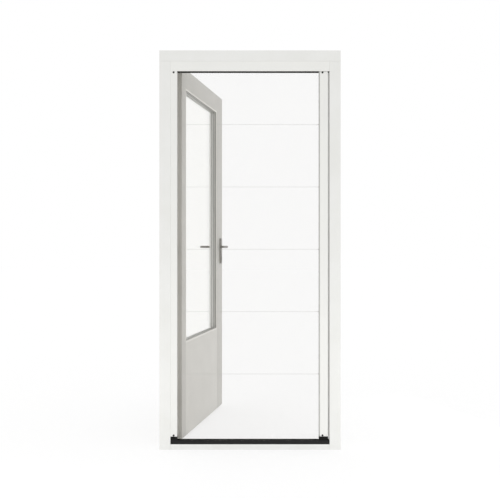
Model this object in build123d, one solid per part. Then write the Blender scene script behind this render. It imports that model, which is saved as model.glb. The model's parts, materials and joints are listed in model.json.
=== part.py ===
from build123d import *
import os
from math import hypot

os.makedirs("parts", exist_ok=True)

# Sizes are in millimetres. X runs to the right seen from outside, Y inwards and Z up,
# from the middle of the underside of the sill.

# Door frame
frame_width = 990
frame_height = 2180
frame_depth = 150
jamb_face = 61
head_face = 60
sill_height = 30
rebate_width = 17
rebate_depth = 60
seal_width = 6
seal_depth = 5
joint_groove = 1.5
jamb_edge_radius = 2

# Glazed leaf, which opens inwards on the left-hand jamb
open_angle = 77.5
leaf_gap = 5
leaf_thickness = 54
hinge_stile_width = 74
lock_stile_width = 138
leaf_top_rail_height = 109
lower_panel_height = 535
lock_edge_bevel = 3
leaf_edge_radius = 2
glass_recess = 20
pane_thickness = 4
pane_spacing = 10
pane_edge_gap = 3
spacer_width = 6
bead_width = 10
bead_setback = 1
bead_chamfer = 2

# Hinges
hinge_height = 100
hinge_end_distance = 230
hinge_flap_width = 28
hinge_flap_thickness = 2.5
knuckle_radius = 7
knuckle_standoff = 2
middle_knuckle_height = 40
knuckle_end_gap = 1
pin_radius = 3
pin_clearance = 0.3

# Lock and handles
backset = 50
lever_height = 1108
lever_radius = 8
lever_projection = 58
lever_length = 125
lever_bend_radius = 16
lever_clearance = 0.5
lever_tip_chamfer = 2
spindle_side = 8
spindle_hole_radius = 11
plate_width = 40
plate_top = 58
plate_bottom = 113
plate_thickness = 8
plate_corner_radius = 5
plate_edge_chamfer = 1.5
cylinder_drop = 72
cylinder_radius = 8.5
cylinder_leg_width = 10
cylinder_height = 33
cylinder_stand_out = 2
faceplate_width = 22
faceplate_height = 235
faceplate_thickness = 3
strike_height = 190
strike_width = 24
strike_thickness = 3
latch_hole_height = 34

# Screen: fixed tracks and side profile
rail_depth = 30
top_rail_height = 54
top_rail_wall = 2
rail_edge_radius = 1.5
track_wall = 1.5
track_lip = 3
bottom_rail_height = 22
bottom_rail_wall = 2.5
bottom_rail_floor = 3
side_profile_width = 36
side_profile_wall = 2
side_groove_left = 9
side_groove_width = 16
side_groove_depth = 1.5
foot_height = 20
clip_channel_depth = 9
clip_channel_width = 18
catch_width = 12
catch_thickness = 4
catch_above_foot = 20
catch_below_rail = 3
stud_radius = 5
stud_from_end = 6

# Screen: pull bar
bar_gap = 9
bar_width = 44
bar_depth = 21
bar_stud_from_left = 15
bar_wall = 1.8
bar_corner_radius = 2
bar_entry = 2
bar_clip_width = 4
bar_clip_depth = 18
magnet_width = 10
magnet_thickness = 3
grip_groove_width = 12
grip_groove_depth = 4
shoe_overhang = 1
shoe_flange_depth = 28
shoe_tongue_length = 19
running_clearance = 5
glider_height = 30
glider_inset = 2

# Screen: mesh and cords
pleat_count = 40
pleat_depth = 16
mesh_thickness = 0.5
mesh_entry = 5
mesh_end_gap = 0.3
cord_radius = 0.6
cord_first_height = 411
cord_spacing = 341.5
cord_count = 5

# Places worked out from those sizes
half_width = frame_width / 2
front = -frame_depth / 2
back = frame_depth / 2
reveal = half_width - jamb_face
rebate_side = reveal + rebate_width
stop = back - rebate_depth
head_under = frame_height - head_face
head_rebate = head_under + rebate_width
sill_back = sill_height - rebate_width

leaf_left = -rebate_side + leaf_gap
leaf_right = rebate_side - leaf_gap
leaf_front = stop + leaf_gap
leaf_back = leaf_front + leaf_thickness
leaf_low = sill_back + leaf_gap
leaf_high = head_rebate - leaf_gap
glass_left = leaf_left + hinge_stile_width
glass_right = leaf_right - lock_stile_width
glass_low = leaf_low + lower_panel_height
glass_high = leaf_high - leaf_top_rail_height
glass_front = leaf_front + glass_recess
glass_back = glass_front + 2 * pane_thickness + pane_spacing

hinge_x = (leaf_left - rebate_side) / 2
hinge_y = leaf_back + knuckle_standoff + knuckle_radius
hinge_heights = [
    leaf_low + hinge_end_distance,
    (leaf_low + leaf_high) / 2,
    leaf_high - hinge_end_distance,
]
spindle_x = leaf_right - backset
cylinder_z = lever_height - cylinder_drop

rail_back = front + rail_depth
screen_y = front + rail_depth / 2
top_rail_low = head_under - top_rail_height
track_high = head_under - top_rail_wall
bottom_rail_high = sill_height + bottom_rail_height
foot_high = bottom_rail_high + foot_height
side_right = -reveal + side_profile_width
bar_right = reveal - bar_gap
bar_left = bar_right - bar_width
bar_front = screen_y - bar_depth / 2
bar_back = screen_y + bar_depth / 2
bar_high = top_rail_low + bar_entry
mesh_left = side_right
mesh_right = bar_left - bar_clip_width - mesh_end_gap


# The corners of a rectangle, for the outlines below
def rectangle(left, right, near, far):
    return [(left, near), (right, near), (right, far), (left, far)]


# A plan outline of (X, Y) points carried up between two heights
def upright(outline, low, high):
    face = make_face(Polyline(*outline, close=True))
    return extrude(Pos(0, 0, low) * face, high - low, dir=(0, 0, 1))


# A section of (Y, Z) points run along X
def crossbar(section, left, right):
    face = make_face(Plane.YZ * Polyline(*section, close=True))
    return extrude(Pos(left, 0, 0) * face, right - left, dir=(1, 0, 0))


def mirrored(outline):
    return [(-x, y) for x, y in outline]


# An outline of (X, Z) points carried inwards between two depths
def elevation(outline, near, far):
    face = make_face(Plane.XZ * Polyline(*outline, close=True))
    return extrude(Pos(0, near, 0) * face, far - near, dir=(0, 1, 0))


# Upright edges at the given places in plan are rounded
def rounded(solid, radius, *places):
    edges = []
    for edge in solid.edges().filter_by(Axis.Z):
        for x, y in places:
            if abs(edge.center().X - x) < 0.01 and abs(edge.center().Y - y) < 0.01:
                edges.append(edge)
    return fillet(edges, radius)


# A hole or rod along Y between two depths
def rod_through(x, z, radius, near, far):
    start = Plane(origin=(x, near, z), x_dir=(1, 0, 0), z_dir=(0, 1, 0))
    return extrude(start * Circle(radius), far - near, dir=(0, 1, 0))


# Where the bevelled lock edge of the leaf lies at a given depth
def lock_edge(depth):
    return leaf_right - lock_edge_bevel * (leaf_back - depth) / leaf_thickness


# Door frame

seal_inner = reveal + (rebate_width - seal_width) / 2
seal_outer = seal_inner + seal_width
seal_bottom = stop - seal_depth

jamb_outline = [
    (reveal, front),
    (half_width, front),
    (half_width, back),
    (rebate_side, back),
    (rebate_side, stop),
    (seal_outer, stop),
    (seal_outer, seal_bottom),
    (seal_inner, seal_bottom),
    (seal_inner, stop),
    (reveal, stop),
]


jamb_round_edges = [(half_width, front), (half_width, back), (reveal, front), (reveal, stop)]


def hinge_pocket(height):
    outline = rectangle(
        -rebate_side - hinge_flap_thickness, -rebate_side, back - hinge_flap_width, back
    )
    return upright(outline, height - hinge_height / 2, height + hinge_height / 2)


def make_left_jamb():
    jamb = upright(mirrored(jamb_outline), 0, head_under)
    jamb = rounded(jamb, jamb_edge_radius, *mirrored(jamb_round_edges))
    for height in hinge_heights:
        jamb -= hinge_pocket(height)
    return jamb


leaf_middle = (leaf_front + leaf_back) / 2
strike_outline = rectangle(
    rebate_side,
    rebate_side + strike_thickness,
    leaf_middle - strike_width / 2,
    leaf_middle + strike_width / 2,
)
strike_low = lever_height - strike_height / 2
strike_high = lever_height + strike_height / 2


def make_right_jamb():
    jamb = rounded(upright(jamb_outline, 0, head_under), jamb_edge_radius, *jamb_round_edges)
    return jamb - upright(strike_outline, strike_low, strike_high)


# The plate has a rounded opening that takes the latch
def make_strike_plate():
    plate = upright(strike_outline, strike_low, strike_high)
    mouth = Plane(
        origin=(rebate_side, leaf_middle, lever_height), x_dir=(0, 1, 0), z_dir=(1, 0, 0)
    ) * SlotOverall(latch_hole_height, strike_width / 2, rotation=90)
    return plate - extrude(mouth, strike_thickness, dir=(1, 0, 0))


head_seal_low = head_under + (rebate_width - seal_width) / 2
head_seal_high = head_seal_low + seal_width


# The head lies over the jambs, with a small groove along the joint in front
def make_head():
    section = [
        (front, head_under + joint_groove),
        (front + joint_groove, head_under),
        (back, head_under),
        (back, frame_height),
        (front + joint_groove, frame_height),
        (front, frame_height - joint_groove),
    ]
    head = crossbar(section, -half_width, half_width)
    head -= crossbar(rectangle(stop, back, head_under, head_rebate), -rebate_side, rebate_side)
    return head - crossbar(
        rectangle(seal_bottom, stop, head_seal_low, head_seal_high), -reveal, reveal
    )


def make_sill():
    sill = crossbar(rectangle(front, stop, 0, sill_height), -reveal, reveal)
    return sill + crossbar(rectangle(stop, back, 0, sill_back), -rebate_side, rebate_side)


def make_stop_seals():
    side = rectangle(seal_inner, seal_outer, seal_bottom, stop)
    top = rectangle(seal_bottom, stop, head_seal_low, head_seal_high)
    return Compound([
        upright(side, sill_height, head_under),
        upright(mirrored(side), sill_height, head_under),
        crossbar(top, -reveal, reveal),
    ])


# Hinges, with the fixed pin in the frame's half

middle_low = -middle_knuckle_height / 2
middle_high = middle_knuckle_height / 2
end_low = -hinge_height / 2
end_high = hinge_height / 2


def knuckle(radius, height, low, high):
    return Pos(hinge_x, hinge_y, height + low) * extrude(Circle(radius), high - low)


def frame_hinge_half(height):
    half = hinge_pocket(height)
    web = rectangle(-rebate_side - hinge_flap_thickness, -rebate_side, back, hinge_y)
    stretches = [
        (end_low, middle_low - knuckle_end_gap),
        (middle_high + knuckle_end_gap, end_high),
    ]
    for low, high in stretches:
        half += upright(web, height + low, height + high)
        half += knuckle(knuckle_radius, height, low, high)
    return half + knuckle(pin_radius, height, end_low, end_high)


def leaf_flap(height):
    outline = rectangle(
        leaf_left, leaf_left + hinge_flap_thickness, leaf_back - hinge_flap_width, leaf_back
    )
    return upright(outline, height - hinge_height / 2, height + hinge_height / 2)


def leaf_hinge_half(height):
    web = rectangle(leaf_left, leaf_left + hinge_flap_thickness, leaf_back, hinge_y)
    half = leaf_flap(height) + upright(web, height + middle_low, height + middle_high)
    half += knuckle(knuckle_radius, height, middle_low, middle_high)
    return half - knuckle(pin_radius + pin_clearance, height, middle_low, middle_high)


# Leaf, drawn closed

faceplate_outline = [
    (lock_edge(leaf_middle - faceplate_width / 2) - faceplate_thickness,
     leaf_middle - faceplate_width / 2),
    (lock_edge(leaf_middle - faceplate_width / 2), leaf_middle - faceplate_width / 2),
    (lock_edge(leaf_middle + faceplate_width / 2), leaf_middle + faceplate_width / 2),
    (lock_edge(leaf_middle + faceplate_width / 2) - faceplate_thickness,
     leaf_middle + faceplate_width / 2),
]


def make_faceplate():
    return upright(
        faceplate_outline, lever_height - faceplate_height / 2, lever_height + faceplate_height / 2
    )


# The usual profile of a door cylinder: a round barrel over a narrow leg
def cylinder_body(near, far, extra=0.0):
    leg_end = cylinder_radius - cylinder_height + cylinder_leg_width / 2
    outline = Circle(cylinder_radius + extra)
    outline += Pos(0, leg_end / 2) * Rectangle(cylinder_leg_width, -leg_end)
    outline += Pos(0, leg_end) * Circle(cylinder_leg_width / 2)
    start = Plane(origin=(spindle_x, near, cylinder_z), x_dir=(1, 0, 0), z_dir=(0, -1, 0))
    return extrude(start * outline, far - near, dir=(0, 1, 0))


def make_hinge_stile():
    stile = upright(rectangle(leaf_left, glass_left, leaf_front, leaf_back), leaf_low, leaf_high)
    stile = rounded(stile, leaf_edge_radius, (leaf_left, leaf_front))
    for height in hinge_heights:
        stile -= leaf_flap(height)
    return stile


def make_lock_stile():
    outline = [
        (glass_right, leaf_front),
        (lock_edge(leaf_front), leaf_front),
        (lock_edge(leaf_back), leaf_back),
        (glass_right, leaf_back),
    ]
    stile = rounded(upright(outline, leaf_low, leaf_high), leaf_edge_radius, *outline[1:3])
    stile -= make_faceplate()
    stile -= rod_through(spindle_x, lever_height, spindle_hole_radius, leaf_front, leaf_back)
    return stile - cylinder_body(leaf_front, leaf_back, lever_clearance)


def between_stiles(low, high):
    return upright(rectangle(glass_left, glass_right, leaf_front, leaf_back), low, high)


# Beads, each a section given by how far it stands into the opening and its depth
outer_bead = [
    (0, leaf_front + bead_setback),
    (bead_width - bead_chamfer, leaf_front + bead_setback),
    (bead_width, leaf_front + bead_setback + bead_chamfer),
    (bead_width, glass_front),
    (0, glass_front),
]
inner_bead = [
    (0, glass_back),
    (bead_width, glass_back),
    (bead_width, leaf_back - bead_chamfer),
    (bead_width - bead_chamfer, leaf_back),
    (0, leaf_back),
]


# The outline that a bead along one edge of the opening keeps once its ends are mitred
def mitred_edge(start, end, inset_start, inset_end):
    return elevation([start, end, inset_end, inset_start], leaf_front, leaf_back)


corners = [
    (glass_left, glass_low),
    (glass_right, glass_low),
    (glass_right, glass_high),
    (glass_left, glass_high),
]
inset_corners = [
    (glass_left + bead_width, glass_low + bead_width),
    (glass_right - bead_width, glass_low + bead_width),
    (glass_right - bead_width, glass_high - bead_width),
    (glass_left + bead_width, glass_high - bead_width),
]


def bead_wedge(first, second):
    return mitred_edge(
        corners[first], corners[second], inset_corners[first], inset_corners[second]
    )


def side_beads(section):
    left = [(glass_left + width, depth) for width, depth in section]
    right = [(glass_right - width, depth) for width, depth in section]
    return Compound([
        upright(left, glass_low, glass_high) & bead_wedge(3, 0),
        upright(right, glass_low, glass_high) & bead_wedge(1, 2),
    ])


def end_beads(section):
    bottom = [(depth, glass_low + width) for width, depth in section]
    top = [(depth, glass_high - width) for width, depth in section]
    return Compound([
        crossbar(bottom, glass_left, glass_right) & bead_wedge(0, 1),
        crossbar(top, glass_left, glass_right) & bead_wedge(2, 3),
    ])


def pane(near, far):
    outline = rectangle(glass_left + pane_edge_gap, glass_right - pane_edge_gap, near, far)
    return upright(outline, glass_low + pane_edge_gap, glass_high - pane_edge_gap)


def make_spacer():
    near = glass_front + pane_thickness
    inset = pane_edge_gap + spacer_width
    hollow = rectangle(glass_left + inset, glass_right - inset, near, near + pane_spacing)
    return pane(near, near + pane_spacing) - upright(hollow, glass_low + inset, glass_high - inset)


# Handles

def handle_plate(face, outward):
    middle = lever_height + (plate_top - plate_bottom) / 2
    start = Plane(origin=(spindle_x, face, middle), x_dir=(1, 0, 0), z_dir=(0, outward, 0))
    outline = RectangleRounded(plate_width, plate_top + plate_bottom, plate_corner_radius)
    plate = extrude(start * outline, plate_thickness)
    far = face + outward * plate_thickness
    rim = plate.faces().sort_by(Axis.Y)[0 if outward < 0 else -1].edges()
    plate = chamfer(rim, plate_edge_chamfer)
    near, far = min(face, far), max(face, far)
    plate -= rod_through(spindle_x, lever_height, lever_radius + lever_clearance, near, far)
    return plate - cylinder_body(near, far, lever_clearance)


# A round bar bent at a right angle, with the grip towards the hinges
def make_lever(face, outward):
    start = face + outward * lever_clearance
    grip = face + outward * (lever_projection - lever_radius)
    path = FilletPolyline(
        (spindle_x, start, lever_height),
        (spindle_x, grip, lever_height),
        (spindle_x - lever_length, grip, lever_height),
        radius=lever_bend_radius,
    )
    section = Plane(origin=path @ 0, z_dir=path % 0) * Circle(lever_radius)
    bar = sweep(section, path=path)
    tip = bar.faces().sort_by(Axis.X)[0]
    return chamfer(tip.edges(), lever_tip_chamfer)


def make_spindle():
    middle = Pos(spindle_x, leaf_middle, lever_height)
    length = leaf_thickness + 2 * lever_clearance
    return middle * Box(spindle_side, length, spindle_side)


# Screen tracks and side profile

def make_top_rail():
    section = [
        (front, top_rail_low),
        (front, head_under),
        (rail_back, head_under),
        (rail_back, top_rail_low),
        (rail_back - top_rail_wall, top_rail_low),
        (rail_back - top_rail_wall, track_high),
        (front + top_rail_wall, track_high),
        (front + top_rail_wall, top_rail_low),
    ]
    rail = crossbar(section, -reveal, reveal)
    lower_edge = rail.edges().filter_by(Axis.X).group_by(Axis.Y)[0].sort_by(Axis.Z)[0]
    return fillet(lower_edge, rail_edge_radius)


def make_top_track():
    near = front + top_rail_wall
    far = rail_back - top_rail_wall
    section = [
        (near, top_rail_low),
        (near, track_high),
        (far, track_high),
        (far, top_rail_low),
        (far - track_wall, top_rail_low),
        (far - track_wall, track_high - track_wall),
        (near + track_wall, track_high - track_wall),
        (near + track_wall, top_rail_low),
    ]
    lip = [
        (far - track_wall, top_rail_low - track_lip),
        (far - track_wall, top_rail_low),
        (far, top_rail_low),
        (far, top_rail_low - track_lip),
    ]
    return crossbar(section, -reveal, reveal) + crossbar(lip, side_right, reveal)


def make_bottom_rail():
    floor = sill_height + bottom_rail_floor
    section = [
        (front, sill_height),
        (rail_back, sill_height),
        (rail_back, bottom_rail_high),
        (rail_back - bottom_rail_wall, bottom_rail_high),
        (rail_back - bottom_rail_wall, floor),
        (front + bottom_rail_wall, floor),
        (front + bottom_rail_wall, bottom_rail_high),
        (front, bottom_rail_high),
    ]
    return crossbar(section, -reveal, reveal)


# A hollow profile with a shallow groove in front and a channel for the end of the mesh
def make_side_profile():
    left = -reveal
    groove = left + side_groove_left
    channel = side_right - clip_channel_depth
    outline = [
        (left, front),
        (groove, front),
        (groove, front + side_groove_depth),
        (groove + side_groove_width, front + side_groove_depth),
        (groove + side_groove_width, front),
        (side_right, front),
        (side_right, screen_y - clip_channel_width / 2),
        (channel, screen_y - clip_channel_width / 2),
        (channel, screen_y + clip_channel_width / 2),
        (side_right, screen_y + clip_channel_width / 2),
        (side_right, rail_back),
        (left, rail_back),
    ]
    hollow = rectangle(
        left + side_profile_wall,
        channel - side_profile_wall,
        front + side_groove_depth + side_profile_wall,
        rail_back - side_profile_wall,
    )
    profile = upright(outline, foot_high, top_rail_low)
    profile = rounded(profile, rail_edge_radius, (left, front), (side_right, front))
    return profile - upright(hollow, foot_high, top_rail_low)


def make_side_foot():
    foot = upright(rectangle(-reveal, side_right, front, rail_back), bottom_rail_high, foot_high)
    tongue = rectangle(
        -reveal, side_right, front + bottom_rail_wall, rail_back - bottom_rail_wall
    )
    return foot + upright(tongue, sill_height + bottom_rail_floor, bottom_rail_high)


def make_fixed_clip():
    outline = rectangle(
        side_right - clip_channel_depth,
        side_right,
        screen_y - clip_channel_width / 2,
        screen_y + clip_channel_width / 2,
    )
    return upright(outline, foot_high, top_rail_low)


def make_catch_strip():
    outline = rectangle(
        reveal - catch_thickness, reveal, screen_y - catch_width / 2, screen_y + catch_width / 2
    )
    low = bottom_rail_high + catch_above_foot
    return upright(outline, low, top_rail_low - catch_below_rail)


def studs(x, near, far):
    heights = (foot_high + stud_from_end, top_rail_low - stud_from_end)
    return Compound([rod_through(x, z, stud_radius, near, far) for z in heights])


# Pull bar

def make_pull_bar():
    outline = Pos((bar_left + bar_right) / 2, screen_y) * RectangleRounded(
        bar_width, bar_depth, bar_corner_radius
    )
    core = Pos((bar_left + bar_right) / 2, screen_y) * Rectangle(
        bar_width - 2 * bar_wall - 2 * magnet_thickness, bar_depth - 2 * bar_wall
    )
    grip = Pos((bar_left + bar_right) / 2, bar_back - grip_groove_depth / 2) * Rectangle(
        grip_groove_width, grip_groove_depth
    )
    grip_wall = Pos(
        (bar_left + bar_right) / 2, bar_back - (grip_groove_depth + bar_wall) / 2
    ) * Rectangle(grip_groove_width + 2 * bar_wall, grip_groove_depth + bar_wall)
    magnet_bed = Pos(bar_right - magnet_thickness / 2, screen_y) * Rectangle(
        magnet_thickness, magnet_width
    )
    section = outline - (core - grip_wall) - grip - magnet_bed
    return extrude(Pos(0, 0, foot_high) * section, bar_high - foot_high, dir=(0, 0, 1))


def make_bar_magnet():
    outline = rectangle(
        bar_right - magnet_thickness, bar_right, screen_y - magnet_width / 2, screen_y + magnet_width / 2
    )
    return upright(outline, foot_high, top_rail_low)


def make_bar_clip():
    outline = rectangle(
        bar_left - bar_clip_width, bar_left, screen_y - bar_clip_depth / 2, screen_y + bar_clip_depth / 2
    )
    return upright(outline, foot_high, bar_high)


def make_bar_shoe():
    left = bar_left - bar_clip_width
    flange = rectangle(
        left,
        bar_right + shoe_overhang,
        screen_y - shoe_flange_depth / 2,
        screen_y + shoe_flange_depth / 2,
    )
    low = bottom_rail_high + running_clearance
    tongue = rectangle(left + glider_inset, bar_right - glider_inset, bar_front, bar_back)
    return upright(flange, low, foot_high) + upright(tongue, low - shoe_tongue_length, low)


def make_bar_glider():
    outline = rectangle(bar_left, bar_right - glider_inset, bar_front, bar_back)
    return upright(outline, bar_high, bar_high + glider_height)


# Pleated mesh, with its folds standing upright

def make_mesh():
    half_pitch = (mesh_right - mesh_left) / (2 * pleat_count)
    slant = hypot(half_pitch, pleat_depth)
    offset = mesh_thickness / 2 * slant / half_pitch
    folds = []
    for step in range(2 * pleat_count + 1):
        side = 1 if step % 2 else -1
        folds.append((mesh_left + step * half_pitch, screen_y + side * pleat_depth / 2))
    near = [(x, y - offset) for x, y in folds]
    far = [(x, y + offset) for x, y in reversed(folds)]
    return upright(near + far, bottom_rail_high - mesh_entry, top_rail_low + mesh_entry)


def make_cords():
    cords = []
    for number in range(cord_count):
        start = Plane.YZ * Pos(screen_y, cord_first_height + number * cord_spacing)
        cords.append(
            extrude(Pos(mesh_left, 0, 0) * start * Circle(cord_radius),
                    mesh_right - mesh_left, dir=(1, 0, 0))
        )
    return Compound(cords)


# The leaf and its fittings are turned together to the angle at which the door stands open
def opened(shape):
    hinge = Pos(hinge_x, hinge_y, 0)
    return hinge * Rot(0, 0, open_angle) * hinge.inverse() * shape


outer_plate_face = leaf_front - plate_thickness
inner_plate_face = leaf_back + plate_thickness
stud_x = -reveal + side_groove_left + side_groove_width / 2
bar_stud_x = bar_left + bar_stud_from_left

fixed_parts = {
    "jamb_left": make_left_jamb(),
    "jamb_right": make_right_jamb(),
    "head": make_head(),
    "sill": make_sill(),
    "stop_seals": make_stop_seals(),
    "frame_hinge_halves": Compound([frame_hinge_half(height) for height in hinge_heights]),
    "strike_plate": make_strike_plate(),
    "screen_top_rail": make_top_rail(),
    "screen_top_track": make_top_track(),
    "screen_bottom_rail": make_bottom_rail(),
    "side_profile": make_side_profile(),
    "side_foot": make_side_foot(),
    "side_mesh_clip": make_fixed_clip(),
    "side_studs": studs(stud_x, front, front + side_groove_depth),
    "catch_strip": make_catch_strip(),
    "pleated_mesh": make_mesh(),
    "tension_cords": make_cords(),
    "pull_bar": make_pull_bar(),
    "bar_magnet": make_bar_magnet(),
    "bar_mesh_clip": make_bar_clip(),
    "bar_shoe": make_bar_shoe(),
    "bar_glider": make_bar_glider(),
    "bar_studs": studs(bar_stud_x, bar_front - side_groove_depth, bar_front),
}

leaf_parts = {
    "hinge_stile": make_hinge_stile(),
    "lock_stile": make_lock_stile(),
    "leaf_top_rail": between_stiles(glass_high, leaf_high),
    "lower_panel": between_stiles(leaf_low, glass_low),
    "outer_pane": pane(glass_front, glass_front + pane_thickness),
    "inner_pane": pane(glass_back - pane_thickness, glass_back),
    "pane_spacer": make_spacer(),
    "outer_bead_sides": side_beads(outer_bead),
    "outer_bead_ends": end_beads(outer_bead),
    "inner_bead_sides": side_beads(inner_bead),
    "inner_bead_ends": end_beads(inner_bead),
    "leaf_hinge_halves": Compound([leaf_hinge_half(height) for height in hinge_heights]),
    "lock_faceplate": make_faceplate(),
    "outer_handle_plate": handle_plate(leaf_front, -1),
    "inner_handle_plate": handle_plate(leaf_back, 1),
    "lock_cylinder": cylinder_body(
        outer_plate_face - cylinder_stand_out, inner_plate_face + cylinder_stand_out
    ),
    "outer_lever": make_lever(leaf_front, -1),
    "inner_lever": make_lever(leaf_back, 1),
    "lever_spindle": make_spindle(),
}

for name, shape in fixed_parts.items():
    export_step(shape, f"parts/{name}.step")

for name, shape in leaf_parts.items():
    export_step(opened(shape), f"parts/{name}.step")
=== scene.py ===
import json
import math

import bpy
from mathutils import Matrix, Vector


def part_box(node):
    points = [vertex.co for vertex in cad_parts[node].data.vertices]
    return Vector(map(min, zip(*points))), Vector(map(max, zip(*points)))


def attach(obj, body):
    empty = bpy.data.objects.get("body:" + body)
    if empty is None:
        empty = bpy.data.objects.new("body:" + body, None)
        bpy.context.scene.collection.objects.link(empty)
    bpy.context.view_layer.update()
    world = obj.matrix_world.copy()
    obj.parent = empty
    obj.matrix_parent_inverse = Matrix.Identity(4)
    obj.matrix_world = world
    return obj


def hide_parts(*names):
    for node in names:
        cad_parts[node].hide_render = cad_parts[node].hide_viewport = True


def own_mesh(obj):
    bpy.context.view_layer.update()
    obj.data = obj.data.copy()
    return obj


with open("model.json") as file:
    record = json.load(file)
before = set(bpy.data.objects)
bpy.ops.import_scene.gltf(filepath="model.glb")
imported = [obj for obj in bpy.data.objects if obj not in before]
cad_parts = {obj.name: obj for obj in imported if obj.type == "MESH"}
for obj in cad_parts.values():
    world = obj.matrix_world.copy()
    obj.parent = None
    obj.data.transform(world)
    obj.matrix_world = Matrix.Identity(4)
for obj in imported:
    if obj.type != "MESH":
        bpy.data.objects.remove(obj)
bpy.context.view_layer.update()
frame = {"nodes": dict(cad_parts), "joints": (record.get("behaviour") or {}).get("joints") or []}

# A white door frame with a pleated insect screen drawn across it and a glazed grey leaf behind.
# Everything is in metres, X to the right seen from outside, Y inwards, Z up.

mm = 0.001
hair = 0.01 * mm  # slack for picking the vertices that lie in one plane
nodes = frame["nodes"]
joints = {joint["name"]: joint for joint in frame["joints"]}


def middle(low, high):
    return (low + high) / 2


# Camera: level, at the height of the vanishing point of the open leaf
camera = {
    "distance": 3.709,        # from the front of the frame
    "height": 1.1044,
    "focalPixels": 679.8,     # for an image 500 pixels wide
    "imagePixels": 500,
    "sensor": 36.0,
    "horizonShift": -0.0052,  # the horizon sits a little above the middle
    "clipEnd": 100.0,
}


def makeCamera():
    print("camera")
    data = bpy.data.cameras.new("frontCamera")
    data.sensor_fit = "HORIZONTAL"
    data.sensor_width = camera["sensor"]
    data.lens = camera["focalPixels"] * camera["sensor"] / camera["imagePixels"]
    data.shift_y = camera["horizonShift"]
    data.clip_end = camera["clipEnd"]
    eye = bpy.data.objects.new("frontCamera", data)
    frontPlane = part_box("head")[0][1]
    eye.location = (0, frontPlane - camera["distance"], camera["height"])
    eye.rotation_euler = (math.pi / 2, 0, 0)
    bpy.context.scene.collection.objects.link(eye)
    bpy.context.scene.camera = eye


makeCamera()


# Selection and modelling helpers

def clearSelection():
    if bpy.context.mode != "OBJECT":
        bpy.ops.object.mode_set(mode="OBJECT")
    bpy.ops.object.select_all(action="DESELECT")


def pickOnly(obj):
    clearSelection()
    obj.select_set(True)
    bpy.context.view_layer.objects.active = obj


# Opens a mesh in edit mode with only the vertices, edges or faces picked that pass the test
def editPicked(obj, kind, test):
    pickOnly(obj)
    bpy.ops.object.mode_set(mode="EDIT")
    bpy.ops.mesh.select_mode(type=kind)
    bpy.ops.mesh.select_all(action="DESELECT")
    bpy.ops.object.mode_set(mode="OBJECT")
    items = {"VERT": obj.data.vertices, "EDGE": obj.data.edges, "FACE": obj.data.polygons}[kind]
    for item in items:
        item.select = bool(test(item))
    bpy.ops.object.mode_set(mode="EDIT")


def leaveEdit():
    bpy.ops.object.mode_set(mode="OBJECT")


def newPiece(name):
    obj = bpy.context.active_object
    obj.name = name
    obj.data.name = name
    return obj


def settle(obj):
    pickOnly(obj)
    bpy.ops.object.transform_apply(location=True, rotation=True, scale=True)


def roundEdges(obj, width, segments=2, angle=35):
    pickOnly(obj)
    modifier = obj.modifiers.new("edgeRound", "BEVEL")
    modifier.width = width
    modifier.segments = segments
    modifier.limit_method = "ANGLE"
    modifier.angle_limit = math.radians(angle)
    bpy.ops.object.modifier_apply(modifier=modifier.name)


def smoothByAngle(obj, degrees=35):
    pickOnly(obj)
    bpy.ops.object.shade_smooth_by_angle(angle=math.radians(degrees))


def facesOutward(obj):
    pickOnly(obj)
    bpy.ops.object.mode_set(mode="EDIT")
    bpy.ops.mesh.select_all(action="SELECT")
    bpy.ops.mesh.remove_doubles(threshold=hair / 10)
    bpy.ops.mesh.normals_make_consistent(inside=False)
    leaveEdit()


# Copies of a finished shape, each with its own mesh, joined into one piece
def copiesJoined(shape, places, name):
    copies = []
    for place in places:
        copy = shape.copy()
        copy.data = shape.data.copy()
        copy.data.transform(place)
        bpy.context.scene.collection.objects.link(copy)
        copies.append(copy)
    bpy.data.objects.remove(shape)
    clearSelection()
    for copy in copies:
        copy.select_set(True)
    bpy.context.view_layer.objects.active = copies[0]
    if len(copies) > 1:
        bpy.ops.object.join()
    return newPiece(name)


# Turns +Z to the given way, then moves to the point
def facing(point, way):
    turn = Vector((0, 0, 1)).rotation_difference(Vector(way)).to_matrix().to_4x4()
    return Matrix.Translation(Vector(point)) @ turn


# The leaf's pieces are modelled closed and then turned with this about the hinge line
hingeLine = Vector(joints["leaf_hinge"]["pos_m"])
openAngle = -math.radians(joints["leaf_hinge"]["range_deg"][0])
openTurn = (
    Matrix.Translation(hingeLine)
    @ Matrix.Rotation(openAngle, 4, "Z")
    @ Matrix.Translation(-hingeLine)
)
closeTurn = openTurn.inverted()


# Lowest and highest corners of a leaf node as it lies when the leaf is closed
def closedBox(name):
    corners = [closeTurn @ (nodes[name].matrix_world @ v.co) for v in nodes[name].data.vertices]
    low = Vector([min(c[k] for c in corners) for k in range(3)])
    high = Vector([max(c[k] for c in corners) for k in range(3)])
    return low, high


def frameBox(name):
    low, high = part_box(name)
    return Vector(low), Vector(high)


def dressPiece(obj, material, body):
    obj.data.materials.clear()
    obj.data.materials.append(material)
    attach(obj, body)


# Materials

def colour(hexValue):
    channels = [int(hexValue[k:k + 2], 16) / 255 for k in (1, 3, 5)]
    linear = [c / 12.92 if c <= 0.04045 else ((c + 0.055) / 1.055) ** 2.4 for c in channels]
    return (*linear, 1.0)


# One node with its settings, and its links as (input, output socket)
def addNode(tree, kind, settings=None, links=()):
    node = tree.nodes.new(kind)
    for key, value in (settings or {}).items():
        if key in node.inputs:
            node.inputs[key].default_value = value
        else:
            setattr(node, key, value)
    for name, source in links:
        tree.links.new(source, node.inputs[name])
    return node


def newMaterial(name, settings):
    material = bpy.data.materials.new(name)
    material.use_nodes = True
    tree = material.node_tree
    tree.nodes.clear()
    shader = addNode(tree, "ShaderNodeBsdfPrincipled", settings)
    addNode(tree, "ShaderNodeOutputMaterial", {}, [("Surface", shader.outputs[0])])
    return material, tree, shader


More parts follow.
